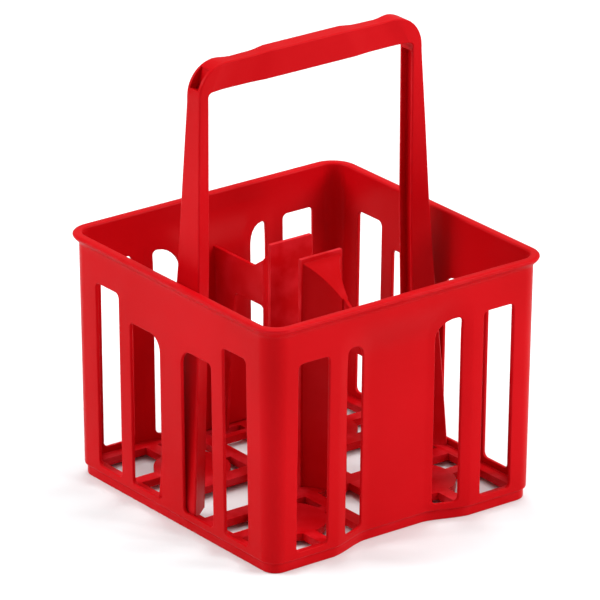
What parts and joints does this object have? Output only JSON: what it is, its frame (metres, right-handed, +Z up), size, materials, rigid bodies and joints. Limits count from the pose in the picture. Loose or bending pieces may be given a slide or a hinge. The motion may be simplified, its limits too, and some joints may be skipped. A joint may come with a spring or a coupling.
{
  "type": "bottle carrier basket",
  "caption": "Open square moulded basket with four wells, slotted walls, low dividers and a fixed tall loop handle, for carrying tubes and bottles.",
  "frame": {"origin": "centre of the underside of the base ring, on the table", "axes": "+Z up, X along the handle's grip, Y across it"},
  "size_m": [0.223, 0.223, 0.3065],
  "materials": {
    "red_plastic": "semi-gloss moulded polypropylene"
  },
  "bodies": {
    "root": {"rim_lip": "red_plastic", "left_wall": "red_plastic", "right_wall": "red_plastic", "front_wall": "red_plastic", "back_wall": "red_plastic", "corner_front_left": "red_plastic", "corner_front_right": "red_plastic", "corner_back_right": "red_plastic", "corner_back_left": "red_plastic", "base_ring": "red_plastic", "floor_frame": "red_plastic", "floor_front_left": "red_plastic", "floor_front_right": "red_plastic", "floor_back_right": "red_plastic", "floor_back_left": "red_plastic", "divider_front": "red_plastic", "divider_back": "red_plastic", "handle_post_left": "red_plastic", "handle_post_right": "red_plastic", "handle_grip": "red_plastic"}
  },
  "joints": []
}
